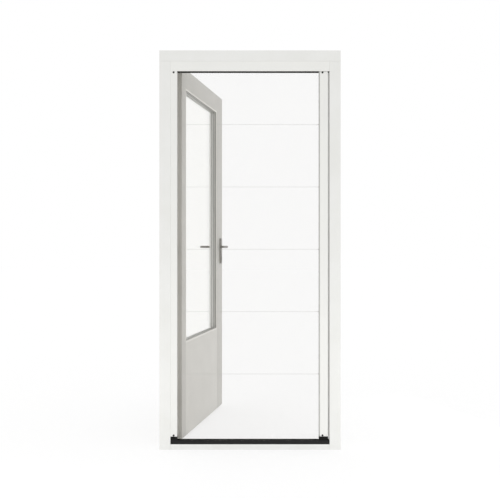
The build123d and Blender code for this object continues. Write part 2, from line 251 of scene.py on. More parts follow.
def objectPoints(tree, scale=(1, 1, 1), turn=0.0):
    points = addNode(tree, "ShaderNodeTexCoord").outputs["Object"]
    turned = addNode(tree, "ShaderNodeMapping", {"Rotation": (0, 0, turn)}, [("Vector", points)])
    return addNode(
        tree, "ShaderNodeMapping", {"Scale": scale}, [("Vector", turned.outputs[0])]
    ).outputs[0]


# Most of a noise pattern lies between these values, which give the two ends of what it drives
patternEnds = (0.3, 0.7)


# Lets patterns drive a shader: the first picks between a dark and a light tone, the second
# between two values of roughness, and where a depth is given it also raises the surface
def patternSurface(tree, shader, tone, tones, relief=None, roughness=None, depth=None,
                   strength=0.5):
    ramp = addNode(tree, "ShaderNodeValToRGB", {}, [("Fac", tone)])
    for element, position, hexValue in zip(ramp.color_ramp.elements, patternEnds, tones):
        element.position = position
        element.color = colour(hexValue)
    tree.links.new(ramp.outputs[0], shader.inputs["Base Color"])
    if roughness:
        sheen = addNode(
            tree, "ShaderNodeMapRange",
            {"From Min": patternEnds[0], "From Max": patternEnds[1],
             "To Min": roughness[0], "To Max": roughness[1]},
            [("Value", relief)],
        )
        tree.links.new(sheen.outputs[0], shader.inputs["Roughness"])
    if depth:
        bump = addNode(
            tree, "ShaderNodeBump", {"Strength": strength, "Distance": depth},
            [("Height", relief)],
        )
        tree.links.new(bump.outputs[0], shader.inputs["Normal"])


# Scale at which a wave texture repeats once in the given length
def waveScale(length):
    return math.pi / 10 / length


paint = {
    "frame": ("#EBEBE8", "#EFEFED"),  # dark and light tone
    "leaf": ("#C1BFBA", "#C6C4BF"),
    # the leaf's grey made lighter for the lower panel: painted light, standing in for the light
    # that falls there
    "panel": ("#D0CEC9", "#D5D3CE"),
    # the leaf's grey made paler for the outer beads: painted light, lifting the shade in the
    # glazing reveal
    "bead": ("#E5E3DE", "#EAE8E3"),
    "gloss": 0.5,
    "ior": 1.48,
    "roughness": (0.32, 0.42),
    "grainWidth": 6 * mm,      # timber grain under the paint, drawn wider than real to show
    "grainLength": 160 * mm,
    "grainDepth": 0.12 * mm,
    "grainStrength": 0.35,
    "mottle": 140 * mm,
}


# Satin alkyd paint sprayed on sanded timber: a soft sheen with a trace of grain along the member
def paintedTimber(name, tones, along, turn=0.0):
    material, tree, shader = newMaterial(
        name, {"Specular IOR Level": paint["gloss"], "IOR": paint["ior"]}
    )
    stretch = [1 / paint["grainWidth"]] * 3
    stretch[along] = 1 / paint["grainLength"]
    grain = addNode(
        tree, "ShaderNodeTexNoise", {"Scale": 1.0, "Detail": 4.0, "Roughness": 0.55},
        [("Vector", objectPoints(tree, stretch, turn))],
    ).outputs["Fac"]
    mottle = addNode(
        tree, "ShaderNodeTexNoise", {"Scale": 1 / paint["mottle"]},
        [("Vector", objectPoints(tree))],
    ).outputs["Fac"]
    patternSurface(tree, shader, mottle, tones, grain, paint["roughness"],
                   paint["grainDepth"], paint["grainStrength"])
    return material


coating = {
    "white": ("#EEEEEB", "#F1F1EE"),  # dark and light tone
    "black": ("#181817", "#1C1C1B"),
    "whiteRoughness": (0.33, 0.43),
    "blackRoughness": (0.45, 0.55),
    "whiteGloss": 0.5,
    "blackGloss": 0.22,        # dull, so that the black stays deep under a white sky
    "ior": 1.5,
    "grain": 1.6 * mm,         # the powder's orange peel, a little coarser than real to show
    "grainDepth": 0.05 * mm,
    "grainStrength": 0.4,
    "mottle": 250 * mm,
}


# Powder coating baked on extruded aluminium: even and satin, with a fine orange peel
def powderCoated(name, tones, roughness, gloss):
    material, tree, shader = newMaterial(
        name, {"Specular IOR Level": gloss, "IOR": coating["ior"]}
    )
    points = objectPoints(tree)
    peel = addNode(
        tree, "ShaderNodeTexNoise", {"Scale": 1 / coating["grain"]}, [("Vector", points)]
    ).outputs["Fac"]
    mottle = addNode(
        tree, "ShaderNodeTexNoise", {"Scale": 1 / coating["mottle"]}, [("Vector", points)]
    ).outputs["Fac"]
    patternSurface(tree, shader, mottle, tones, peel, roughness,
                   coating["grainDepth"], coating["grainStrength"])
    return material


nylon = {
    "black": ("#10100F", "#181817"),  # dark and light tone
    "grey": ("#A9A9A6", "#B3B3B0"),
    "blackRoughness": (0.52, 0.68),
    "greyRoughness": (0.42, 0.58),
    "blackGloss": 0.14,
    "greyGloss": 0.35,
    "ior": 1.5,
    "spark": 0.9 * mm,         # coarser than the mould's own texture, to show
    "sparkDepth": 0.06 * mm,
}


# Glass-filled nylon, moulded: matt, with the fine spark texture of its mould
def mouldedNylon(name, tones, roughness, gloss):
    material, tree, shader = newMaterial(
        name, {"Specular IOR Level": gloss, "IOR": nylon["ior"]}
    )
    spark = addNode(
        tree, "ShaderNodeTexNoise",
        {"Scale": 1 / nylon["spark"], "Detail": 3.0, "Roughness": 0.6},
        [("Vector", objectPoints(tree))],
    ).outputs["Fac"]
    patternSurface(tree, shader, spark, tones, spark, roughness, nylon["sparkDepth"])
    return material


rubbers = {
    "black": ("#191918", "#232322"),  # dark and light tone
    # the dark grey serves only the painted shade strip on the outer bead
    "darkGrey": ("#5E5E5B", "#6C6C69"),
    "grey": ("#8A8A87", "#989895"),
    "pale": ("#D2D2CF", "#DEDEDB"),
    "gloss": 0.25,
    "ior": 1.5,
    "roughness": (0.62, 0.8),
    "lineWidth": 0.8 * mm,     # die lines, coarser than real to show
    "alongScale": 0.02,        # they run this much slower along Z
    "lineDepth": 0.05 * mm,
    "lineStrength": 0.4,
}


# EPDM rubber, extruded: dull, with faint lines along its length
def extrudedRubber(name, tones):
    material, tree, shader = newMaterial(
        name, {"Specular IOR Level": rubbers["gloss"], "IOR": rubbers["ior"]}
    )
    lines = addNode(
        tree, "ShaderNodeTexNoise", {"Scale": 1 / rubbers["lineWidth"]},
        [("Vector", objectPoints(tree, (1, 1, rubbers["alongScale"])))],
    ).outputs["Fac"]
    patternSurface(tree, shader, lines, tones, lines, rubbers["roughness"],
                   rubbers["lineDepth"], rubbers["lineStrength"])
    return material


steel = {
    "tones": ("#83817D", "#979590"),
    "roughness": (0.26, 0.42),
    "brushWidth": 0.5 * mm,    # brush lines, coarser than the grit that made them, to show
    "brushLength": 25 * mm,
    "brushDepth": 0.03 * mm,
    "brushStrength": 0.4,
}


# Stainless steel, belt brushed along one way: fine lines and a broken highlight
def brushedSteel(name, along, turn=0.0):
    material, tree, shader = newMaterial(name, {"Metallic": 1.0})
    stretch = [1 / steel["brushWidth"]] * 3
    stretch[along] = 1 / steel["brushLength"]
    lines = addNode(
        tree, "ShaderNodeTexNoise", {"Scale": 1.0, "Detail": 4.0, "Roughness": 0.6},
        [("Vector", objectPoints(tree, stretch, turn))],
    ).outputs["Fac"]
    patternSurface(tree, shader, lines, steel["tones"], lines, steel["roughness"],
                   steel["brushDepth"], steel["brushStrength"])
    return material


aluminium = {
    "tones": ("#DEDEDC", "#EEEEEC"),
    "roughness": (0.4, 0.55),
    "lineWidth": 0.7 * mm,
    "alongScale": 0.03,        # the lines run this much slower along Z
}


# Aluminium spacer bar, rolled and left bare: grey, with the rollers' fine lines
def rolledAluminium():
    material, tree, shader = newMaterial("rolledAluminium", {"Metallic": 1.0})
    lines = addNode(
        tree, "ShaderNodeTexNoise", {"Scale": 1 / aluminium["lineWidth"], "Detail": 3.0},
        [("Vector", objectPoints(tree, (1, 1, aluminium["alongScale"])))],
    ).outputs["Fac"]
    patternSurface(tree, shader, lines, aluminium["tones"], lines, aluminium["roughness"])
    return material


glazing = {
    "tint": "#FFFFFE",
    "shadowTint": "#FCFCFB",
    "ior": 1.08,               # below that of glass, because the coating takes its reflections
    "waver": 350 * mm,
    "waverDepth": 0.2 * mm,
    "waverStrength": 0.05,
}


# Float glass, drawn on a tin bath and coated against glare: clear and flat, and it mirrors little
def floatGlass():
    material, tree, shader = newMaterial(
        "floatGlass",
        {"Transmission Weight": 1.0, "Roughness": 0.0, "IOR": glazing["ior"],
         "Base Color": colour(glazing["tint"])},
    )
    waver = addNode(
        tree, "ShaderNodeTexNoise", {"Scale": 1 / glazing["waver"], "Detail": 1.0},
        [("Vector", objectPoints(tree))],
    ).outputs["Fac"]
    bump = addNode(
        tree, "ShaderNodeBump",
        {"Strength": glazing["waverStrength"], "Distance": glazing["waverDepth"]},
        [("Height", waver)],
    )
    tree.links.new(bump.outputs[0], shader.inputs["Normal"])
    clear = addNode(tree, "ShaderNodeBsdfTransparent", {"Color": colour(glazing["shadowTint"])})
    rays = addNode(tree, "ShaderNodeLightPath")
    mix = addNode(tree, "ShaderNodeMixShader", {}, [("Fac", rays.outputs["Is Shadow Ray"])])
    tree.links.new(shader.outputs[0], mix.inputs[1])
    tree.links.new(clear.outputs[0], mix.inputs[2])
    tree.links.new(mix.outputs[0], tree.nodes["Material Output"].inputs["Surface"])
    return material


netting = {
    "tones": ("#B0AAA0", "#BCB6AC"),
    "roughness": 0.7,
    "ior": 1.5,
    "pitch": 1.4 * mm,         # from thread to thread, coarser than real to show
    "thread": 0.16,            # share of the pitch that a thread covers
    "cover": 0.07,             # the veil of the finest weave between the drawn threads
    "threadCover": 0.22,
    "mottle": 120 * mm,
}


# Woven polyester netting, heat set in pleats: almost clear, a faint veil of crossing threads
def wovenNetting():
    material, tree, shader = newMaterial(
        "polyesterNetting", {"Roughness": netting["roughness"], "IOR": netting["ior"]}
    )
    points = addNode(tree, "ShaderNodeTexCoord").outputs["UV"]
    threads = addNode(tree, "ShaderNodeMath", {"operation": "MAXIMUM"})
    for k, direction in enumerate(("X", "Y")):
        wave = addNode(
            tree, "ShaderNodeTexWave",
            {"bands_direction": direction, "wave_type": "BANDS", "wave_profile": "TRI",
             "Scale": waveScale(netting["pitch"]), "Distortion": 0.0},
            [("Vector", points)],
        )
        line = addNode(
            tree, "ShaderNodeMapRange", {"From Min": 1 - netting["thread"], "From Max": 1.0},
            [("Value", wave.outputs["Fac"])],
        )
        tree.links.new(line.outputs[0], threads.inputs[k])
    cover = addNode(
        tree, "ShaderNodeMapRange",
        {"To Min": netting["cover"], "To Max": netting["threadCover"]},
        [("Value", threads.outputs[0])],
    )
    tree.links.new(cover.outputs[0], shader.inputs["Alpha"])
    mottle = addNode(
        tree, "ShaderNodeTexNoise", {"Scale": 1 / netting["mottle"]}, [("Vector", points)]
    ).outputs["Fac"]
    patternSurface(tree, shader, mottle, netting["tones"])
    return material


braid = {
    "tones": ("#B2B2AE", "#C2C2BE"),
    "roughness": 0.6,
    "ior": 1.5,
    "twist": 4 * mm,
    "twistDepth": 0.1 * mm,
    "twistStrength": 0.6,
}


# Braided polyester cord, pulled tight: grey with a fine twist
def braidedCord():
    material, tree, shader = newMaterial(
        "braidedPolyester", {"Roughness": braid["roughness"], "IOR": braid["ior"]}
    )
    twist = addNode(
        tree, "ShaderNodeTexWave",
        {"bands_direction": "DIAGONAL", "wave_type": "BANDS", "Scale": waveScale(braid["twist"]),
         "Distortion": 0.5},
        [("Vector", objectPoints(tree))],
    ).outputs["Fac"]
    patternSurface(tree, shader, twist, braid["tones"], twist, depth=braid["twistDepth"],
                   strength=braid["twistStrength"])
    return material


print("materials")
frameUpright = paintedTimber("whitePaintUpright", paint["frame"], 2)
frameLevel = paintedTimber("whitePaintLevel", paint["frame"], 0)
leafUpright = paintedTimber("greyPaintUpright", paint["leaf"], 2)
leafLevel = paintedTimber("greyPaintLevel", paint["leaf"], 0, -openAngle)
# Painted light: the lower panel carries a lighter copy of the leaf's grey, the stiles and top rail
# the darker one
panelLitPaint = paintedTimber("greyPaintPanelLit", paint["panel"], 0, -openAngle)
# Painted light: the outer beads in the recess round the glass carry a paler copy of the leaf's
# grey, against the shade there
beadLitUpright = paintedTimber("palePaintLitUpright", paint["bead"], 2)
beadLitLevel = paintedTimber("palePaintLitLevel", paint["bead"], 0, -openAngle)
roomUpright = paintedTimber("whitePaintBeadUpright", paint["frame"], 2)
roomLevel = paintedTimber("whitePaintBeadLevel", paint["frame"], 0, -openAngle)
whiteCoating = powderCoated(
    "whitePowderCoat", coating["white"], coating["whiteRoughness"], coating["whiteGloss"]
)
blackCoating = powderCoated(
    "blackPowderCoat", coating["black"], coating["blackRoughness"], coating["blackGloss"]
)
blackNylon = mouldedNylon(
    "blackNylon", nylon["black"], nylon["blackRoughness"], nylon["blackGloss"]
)
greyNylon = mouldedNylon("greyNylon", nylon["grey"], nylon["greyRoughness"], nylon["greyGloss"])
blackRubber = extrudedRubber("blackEpdmRubber", rubbers["black"])
greyRubber = extrudedRubber("greyEpdmRubber", rubbers["grey"])
# dark grey rubber for the painted shade strip on the outer bead
shadowStripRubber = extrudedRubber("darkGreyShadowStripRubber", rubbers["darkGrey"])
paleRubber = extrudedRubber("paleEpdmRubber", rubbers["pale"])
uprightSteel = brushedSteel("brushedSteelUpright", 2)
gripSteel = brushedSteel("brushedSteelGrip", 0, -openAngle)
spacerBar = rolledAluminium()
glass = floatGlass()
nettingCloth = wovenNetting()
cordBraid = braidedCord()

# What each node of the frame is made of
finishes = [
    (frameUpright, ["jamb_left", "jamb_right"]),
    (frameLevel, ["head", "sill"]),
    (leafUpright, ["hinge_stile", "lock_stile"]),
    (leafLevel, ["leaf_top_rail"]),
    (panelLitPaint, ["lower_panel"]),
    (beadLitUpright, ["outer_bead_sides"]),
    (beadLitLevel, ["outer_bead_ends"]),
    (roomUpright, ["inner_bead_sides"]),
    (roomLevel, ["inner_bead_ends"]),
    (whiteCoating, ["screen_top_rail", "side_profile", "pull_bar"]),
    (blackCoating, ["screen_bottom_rail"]),
    (blackNylon, ["screen_top_track", "side_foot", "side_studs", "bar_shoe", "bar_glider",
                  "bar_studs"]),
    (greyNylon, ["side_mesh_clip", "bar_mesh_clip", "catch_strip", "bar_magnet"]),
    (blackRubber, ["stop_seals"]),
    (uprightSteel, ["frame_hinge_halves", "leaf_hinge_halves", "strike_plate", "lock_faceplate",
                    "outer_handle_plate", "inner_handle_plate", "lock_cylinder"]),
    (gripSteel, ["outer_lever", "inner_lever", "lever_spindle"]),
    (spacerBar, ["pane_spacer"]),
    (glass, ["outer_pane", "inner_pane"]),
]
for material, names in finishes:
    for name in names:
        mesh = nodes[name].data
        mesh.materials.clear()
        mesh.materials.append(material)


# Pleated mesh: one flat sheet, folded into upright pleats
pleats = {
    "count": 40,
    "depth": 16 * mm,
    "creaseRound": 0.7 * mm,
    "smooth": 60,              # degrees
}
meshLow, meshHigh = frameBox("pleated_mesh")
pleatStep = (meshHigh.x - meshLow.x) / (2 * pleats["count"])
pleatSlant = math.hypot(pleatStep, pleats["depth"])


def makePleatedMesh():
    print("pleated mesh")
    centre = middle(meshLow.y, meshHigh.y)
    near, far = centre - pleats["depth"] / 2, centre + pleats["depth"] / 2
    clearSelection()
    bpy.ops.mesh.primitive_plane_add(size=1, location=(0, 0, 0))
    cloth = newPiece("pleatedMesh")
    corners = [(0, near, meshLow.z), (pleatStep, far, meshLow.z),
               (0, near, meshHigh.z), (pleatStep, far, meshHigh.z)]
    for vertex, (x, y, z) in zip(cloth.data.vertices, corners):
        vertex.co = (meshLow.x + x, y, z)
    halfStep = pleatStep / 2
    editPicked(cloth, "EDGE", lambda e: all(
        cloth.data.vertices[v].co.x > meshLow.x + halfStep for v in e.vertices))
    for fold in range(1, 2 * pleats["count"]):
        side = -pleats["depth"] if fold % 2 else pleats["depth"]
        bpy.ops.mesh.extrude_region_move(TRANSFORM_OT_translate={"value": (pleatStep, side, 0)})
    leaveEdit()

    def isCrease(edge):
        a, b = (cloth.data.vertices[v].co for v in edge.vertices)
        inside = meshLow.x + halfStep < a.x < meshHigh.x - halfStep
        return inside and abs(a.x - b.x) < hair

    editPicked(cloth, "EDGE", isCrease)
    bpy.ops.mesh.bevel(offset=pleats["creaseRound"], segments=2)
    leaveEdit()
    return cloth


# The weave follows the cloth as it lay before it was folded
def unfoldedUv(cloth):
    layer = cloth.data.uv_layers.active or cloth.data.uv_layers.new(name="unfolded")
    for loop in cloth.data.loops:
        point = cloth.data.vertices[loop.vertex_index].co
        along = (point.x - meshLow.x) * pleatSlant / pleatStep
        layer.data[loop.index].uv = (along, point.z - meshLow.z)


pleatedMesh = makePleatedMesh()
unfoldedUv(pleatedMesh)
smoothByAngle(pleatedMesh, pleats["smooth"])
dressPiece(pleatedMesh, nettingCloth, "door_frame")
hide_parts("pleated_mesh")
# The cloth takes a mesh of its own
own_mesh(pleatedMesh)


# Tension cords through the pleats, with a ferrule at each end
cords = {
    "sides": 10,
    "ferruleRadius": 1.6 * mm,
    "ferruleLength": 6 * mm,
    "apart": 20 * mm,          # vertices nearer than this in height are of one cord
}


def cordHeights():
    groups = []
    for vertex in nodes["tension_cords"].data.vertices:
        for group in groups:
            if abs(group[0] - vertex.co.z) < cords["apart"]:
                group.append(vertex.co.z)
                break
        else:
            groups.append([vertex.co.z])
    return [middle(min(group), max(group)) for group in groups]


def makeTensionCords():
    print("tension cords")
    low, high = frameBox("tension_cords")
    radius = (high.y - low.y) / 2
    clearSelection()
    bpy.ops.mesh.primitive_cylinder_add(
        vertices=cords["sides"], radius=cords["ferruleRadius"], depth=cords["ferruleLength"],
        location=(low.x + cords["ferruleLength"] / 2, middle(low.y, high.y), 0),
        rotation=(0, math.pi / 2, 0),
    )
    cord = newPiece("cordShape")
    settle(cord)
    # the inner face of one ferrule is narrowed, drawn across and widened again for the other
    narrower = radius / cords["ferruleRadius"]
    span = high.x - low.x - 2 * cords["ferruleLength"]
    editPicked(cord, "FACE", lambda f: f.normal.x > 0.9)
    bpy.ops.mesh.extrude_region_move()
    bpy.ops.transform.resize(value=(1, narrower, narrower))
    bpy.ops.mesh.extrude_region_move(TRANSFORM_OT_translate={"value": (span, 0, 0)})
    bpy.ops.mesh.extrude_region_move()
    bpy.ops.transform.resize(value=(1, 1 / narrower, 1 / narrower))
    bpy.ops.mesh.extrude_region_move(
        TRANSFORM_OT_translate={"value": (cords["ferruleLength"], 0, 0)}
    )
    leaveEdit()
    facesOutward(cord)
    return copiesJoined(
        cord, [Matrix.Translation((0, 0, z)) for z in cordHeights()], "tensionCords"
    )


tensionCords = makeTensionCords()
smoothByAngle(tensionCords)
dressPiece(tensionCords, cordBraid, "door_frame")
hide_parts("tension_cords")
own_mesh(tensionCords)


# Levers: a round steel bar bent at a right angle, with a rounded tip
lever = {
    "bend": 16 * mm,           # to the middle of the bar
    "bendSteps": 14,
    "tipRound": 5 * mm,
    "tipSteps": 5,
    "sides": 40,
    "smooth": 50,              # degrees
    "collarOuter": 12.5 * mm,  # the ring that the bar turns in
    "collarGap": 0.4 * mm,
    "collarHeight": 3.2 * mm,
    "collarEdge": 0.9 * mm,
}


def makeLever(node, name, outward):
    print(name)
    low, high = closedBox(node)
    radius = (high.z - low.z) / 2
    neckX, height = high.x - radius, middle(low.z, high.z)
    start = high.y if outward < 0 else low.y
    grip = low.y + radius if outward < 0 else high.y - radius
    bendStart = grip - outward * lever["bend"]
    bendX = neckX - lever["bend"]
    clearSelection()
    bpy.ops.mesh.primitive_circle_add(
        vertices=lever["sides"], radius=radius, fill_type="NGON",
        location=(neckX, start, height), rotation=(math.pi / 2, 0, 0),
    )
    bar = newPiece(name)
    settle(bar)
    bpy.ops.object.mode_set(mode="EDIT")
    bpy.ops.mesh.select_mode(type="FACE")
    bpy.ops.mesh.select_all(action="SELECT")
    bpy.ops.mesh.extrude_region_move(
        TRANSFORM_OT_translate={"value": (0, bendStart - start, 0)}
    )
    bpy.ops.mesh.spin(
        steps=lever["bendSteps"], angle=-outward * math.pi / 2,
        center=(bendX, bendStart, height), axis=(0, 0, 1),
    )
    bpy.ops.mesh.extrude_region_move(TRANSFORM_OT_translate={"value": (low.x - bendX, 0, 0)})
    leaveEdit()
    editPicked(bar, "EDGE", lambda e: all(
        bar.data.vertices[v].co.x < low.x + hair for v in e.vertices))
    bpy.ops.mesh.bevel(offset=lever["tipRound"], segments=lever["tipSteps"])
    leaveEdit()
    facesOutward(bar)
    bar.data.transform(openTurn)
    smoothByAngle(bar, lever["smooth"])
    dressPiece(bar, gripSteel, "levers")
    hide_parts(node)
    return neckX, height, radius


neckX, leverHeight, leverRadius = makeLever("outer_lever", "outerLever", -1)
makeLever("inner_lever", "innerLever", 1)


# A ring round the Z axis, spun from its own section
def spunRing(name, inner, outer, low, high, edge, steps=40):
    clearSelection()
    bpy.ops.mesh.primitive_plane_add(size=1, location=(0, 0, 0))
    ring = newPiece(name)
    corners = [(inner, low), (outer, low), (inner, high), (outer, high)]
    for vertex, (radius, height) in zip(ring.data.vertices, corners):
        vertex.co = (radius, 0, height)
    bpy.ops.object.mode_set(mode="EDIT")
    bpy.ops.mesh.select_all(action="SELECT")
    bpy.ops.mesh.delete(type="ONLY_FACE")
    bpy.ops.mesh.select_all(action="SELECT")
    bpy.ops.mesh.spin(steps=steps, angle=2 * math.pi, center=(0, 0, 0), axis=(0, 0, 1))
    leaveEdit()
    facesOutward(ring)
    roundEdges(ring, edge)
    return ring


print("lever collars")
outerPlate, innerPlate = closedBox("outer_handle_plate"), closedBox("inner_handle_plate")
leverCollars = copiesJoined(
    spunRing("collarShape", leverRadius + lever["collarGap"], lever["collarOuter"], 0,
             lever["collarHeight"], lever["collarEdge"]),
    [
        openTurn @ facing((neckX, outerPlate[0].y, leverHeight), (0, -1, 0)),
        openTurn @ facing((neckX, innerPlate[1].y, leverHeight), (0, 1, 0)),
    ],
    "leverCollars",
)
smoothByAngle(leverCollars)
dressPiece(leverCollars, uprightSteel, "door_leaf")


# Cross-head screws, flush in their countersinks
screw = {
    "radius": 3.6 * mm,
    "sides": 20,
    "proud": 0.25 * mm,
    "depth": 0.9 * mm,
    "driveRadius": 2.2 * mm,
    "driveWidth": 0.9 * mm,
    "driveDepth": 0.5 * mm,
}


def makeScrewShape():
    print("screws")
    clearSelection()
    bpy.ops.mesh.primitive_cylinder_add(
        vertices=screw["sides"], radius=screw["radius"], depth=screw["depth"],
        location=(0, 0, screw["proud"] - screw["depth"] / 2),
    )
    shape = newPiece("screwShape")
    settle(shape)
    half = screw["driveWidth"] / 2

    def inDrive(face):
        rim = max(math.hypot(*shape.data.vertices[v].co.xy) for v in face.vertices)
        return face.normal.z > 0.9 and rim < screw["driveRadius"] + hair

    editPicked(shape, "FACE", lambda f: f.normal.z > 0.9)
    bpy.ops.mesh.inset(thickness=screw["radius"] - screw["driveRadius"], depth=0)
    leaveEdit()
    for x, y in ((1, 0), (-1, 0), (0, 1), (0, -1)):
        editPicked(shape, "FACE", inDrive)
        bpy.ops.mesh.bisect(plane_co=(x * half, y * half, 0), plane_no=(x, y, 0))
        leaveEdit()
    editPicked(shape, "FACE", lambda f: inDrive(f) and (
        min(abs(f.center.x), abs(f.center.y)) < half))
    bpy.ops.mesh.extrude_region_move(
        TRANSFORM_OT_translate={"value": (0, 0, -screw["driveDepth"])}
    )
    leaveEdit()
    return shape


def placeScrews(shape, places, name, body):
    copy = shape.copy()
    copy.data = shape.data.copy()
    bpy.context.scene.collection.objects.link(copy)
    screws = copiesJoined(copy, places, name)
    smoothByAngle(screws)
    dressPiece(screws, uprightSteel, body)


hinge = {
    "halfHeight": 50 * mm,
    "screwHeights": (-38 * mm, -15 * mm, 15 * mm, 38 * mm),
    "screwFromEdge": (9 * mm, 17 * mm, 17 * mm, 9 * mm),
    "capRadius": 6.4 * mm,
    "capHeight": 3 * mm,
    "capDome": 2.7 * mm,
    "capSteps": 5,
    "capSides": 32,
    "capSmooth": 50,           # degrees
    "washerRadius": 6.8 * mm,
    "washerThickness": 0.8 * mm,
    "washerGap": 0.2 * mm,     # round the pin
    "washerEdge": 0.15 * mm,
    "washerSides": 32,
    "pinRadius": 3 * mm,
    "middleKnuckle": 20 * mm,
    "knuckleGap": 1 * mm,
}
flapLow, flapHigh = closedBox("leaf_hinge_halves")
hingeHeights = [
    flapLow.z + hinge["halfHeight"],
    middle(flapLow.z, flapHigh.z),
    flapHigh.z - hinge["halfHeight"],
]
leafEdge = closedBox("hinge_stile")[0].x
frameEdge = 2 * hingeLine.x - leafEdge  # the hinge line is midway between the two flaps
frameFlapEdge = frameBox("frame_hinge_halves")[0].y

screwShape = makeScrewShape()
frameScrews, leafScrews = [], []
for hingeHeight in hingeHeights:
    for up, across in zip(hinge["screwHeights"], hinge["screwFromEdge"]):
        frameScrews.append(facing((frameEdge, frameFlapEdge + across, hingeHeight + up), (1, 0, 0)))
        leafScrews.append(
            openTurn @ facing((leafEdge, flapLow.y + across, hingeHeight + up), (-1, 0, 0)))
placeScrews(screwShape, frameScrews, "hingeScrewsFrame", "door_frame")
placeScrews(screwShape, leafScrews, "hingeScrewsLeaf", "door_leaf")

lockFittings = {
    "screwFromEnd": 10 * mm,
    "edgeLean": 3 * mm,        # the lock edge is cut back by this across the leaf's thickness
}
strikeLow, strikeHigh = frameBox("strike_plate")
placeScrews(
    screwShape,
    [facing((strikeLow.x, middle(strikeLow.y, strikeHigh.y), z), (-1, 0, 0))
     for z in (strikeLow.z + lockFittings["screwFromEnd"],
               strikeHigh.z - lockFittings["screwFromEnd"])],
    "strikeScrews", "door_frame",
)
plateLow, plateHigh = closedBox("lock_faceplate")
stileLow, stileHigh = closedBox("lock_stile")
lean = math.atan2(lockFittings["edgeLean"], stileHigh.y - stileLow.y)
plateMiddleX = plateHigh.x - (plateHigh.y - plateLow.y) / 2 * math.tan(lean)
edgeWay = (math.cos(lean), -math.sin(lean), 0)


def onFaceplate(z):
    return openTurn @ facing((plateMiddleX, middle(plateLow.y, plateHigh.y), z), edgeWay)


placeScrews(
    screwShape,
    [onFaceplate(plateLow.z + lockFittings["screwFromEnd"]),
     onFaceplate(plateHigh.z - lockFittings["screwFromEnd"])],
    "faceplateScrews", "door_leaf",
)
placeScrews(
    screwShape,
    [openTurn @ facing((neckX, innerPlate[1].y, z), (0, 1, 0))
     for z in (innerPlate[0].z + lockFittings["screwFromEnd"],
               innerPlate[1].z - lockFittings["screwFromEnd"])],
    "plateScrews", "door_leaf",
)
bpy.data.objects.remove(screwShape)


# Domed caps on the hinge pins, and nylon washers between the knuckles
def makeCapShape():
    clearSelection()
    bpy.ops.mesh.primitive_cylinder_add(
        vertices=hinge["capSides"], radius=hinge["capRadius"], depth=hinge["capHeight"],
        location=(0, 0, hinge["capHeight"] / 2),
    )
    cap = newPiece("capShape")
    settle(cap)
    top = hinge["capHeight"] - hair
    editPicked(cap, "EDGE", lambda e: all(cap.data.vertices[v].co.z > top for v in e.vertices))
    bpy.ops.mesh.bevel(offset=hinge["capDome"], segments=hinge["capSteps"])
    leaveEdit()
    return cap


print("hinge caps and washers")
capPlaces, washerPlaces = [], []
for hingeHeight in hingeHeights:
    for side in (-1, 1):
        capPlaces.append(facing(
            (hingeLine.x, hingeLine.y, hingeHeight + side * hinge["halfHeight"]), (0, 0, side)))
        gapMiddle = side * (hinge["middleKnuckle"] + hinge["knuckleGap"] / 2)
        washerPlaces.append(Matrix.Translation((hingeLine.x, hingeLine.y, hingeHeight + gapMiddle)))
pinCaps = copiesJoined(makeCapShape(), capPlaces, "pinCaps")
smoothByAngle(pinCaps, hinge["capSmooth"])
dressPiece(pinCaps, uprightSteel, "door_frame")
washerHalf = hinge["washerThickness"] / 2
washers = copiesJoined(
    spunRing("washerShape", hinge["pinRadius"] + hinge["washerGap"], hinge["washerRadius"],
             -washerHalf, washerHalf, hinge["washerEdge"], hinge["washerSides"]),
    washerPlaces, "knuckleWashers",
)
smoothByAngle(washers)
dressPiece(washers, blackNylon, "door_frame")


# Rubber seals round the glass: a gasket in the corner of bead and pane on both sides. A thin dark
# lip let into the outer bead behind its front edge is painted shade: a dark strip drawn as rubber
# where a shadow line falls between bead and stile
gasket = {
    "beadWidth": 10 * mm,
    "lip": 1 * mm,             # how far it shows past the bead
    "depth": 5 * mm,
    "edge": 0.4 * mm,          # rounding, less on a lip too thin for it
    "edgeShare": 0.45,         # the most of a lip that it takes
    "frontLip": 0.7 * mm,
    "frontDepth": 4 * mm,
    "frontBehind": 3 * mm,
}
beadLow, beadHigh = closedBox("outer_bead_sides")


# A ring of rubber on the beads' inner faces, from start along Y by depth
def makeSeal(name, start, depth, lip, rubber):
    print(name)
    left, right = beadLow.x + gasket["beadWidth"], beadHigh.x - gasket["beadWidth"]
    low, high = beadLow.z + gasket["beadWidth"], beadHigh.z - gasket["beadWidth"]
    clearSelection()
    bpy.ops.mesh.primitive_plane_add(size=1, location=(0, 0, 0))
    ring = newPiece(name)
    corners = [(left, low), (right, low), (left, high), (right, high)]
    for vertex, (x, z) in zip(ring.data.vertices, corners):
        vertex.co = (x, start, z)
    bpy.ops.object.mode_set(mode="EDIT")
    bpy.ops.mesh.select_mode(type="FACE")
    bpy.ops.mesh.select_all(action="SELECT")
    bpy.ops.mesh.inset(thickness=lip, depth=0)
    bpy.ops.mesh.delete(type="FACE")
    bpy.ops.mesh.select_all(action="SELECT")
    bpy.ops.mesh.extrude_region_move(TRANSFORM_OT_translate={"value": (0, depth, 0)})
    leaveEdit()
    facesOutward(ring)
    roundEdges(ring, min(gasket["edge"], lip * gasket["edgeShare"]))
    ring.data.transform(openTurn)
    smoothByAngle(ring)
    dressPiece(ring, rubber, "door_leaf")


outsideOfGlass, insideOfGlass = closedBox("outer_pane")[0].y, closedBox("inner_pane")[1].y
makeSeal("outerGasket", outsideOfGlass, -gasket["depth"], gasket["lip"], greyRubber)
makeSeal("innerGasket", insideOfGlass, gasket["depth"], gasket["lip"], paleRubber)
# painted shade: a dark strip where the shadow line between bead and stile falls
makeSeal("beadShadowStrip", beadLow.y + gasket["frontBehind"], gasket["frontDepth"],
         gasket["frontLip"], shadowStripRubber)


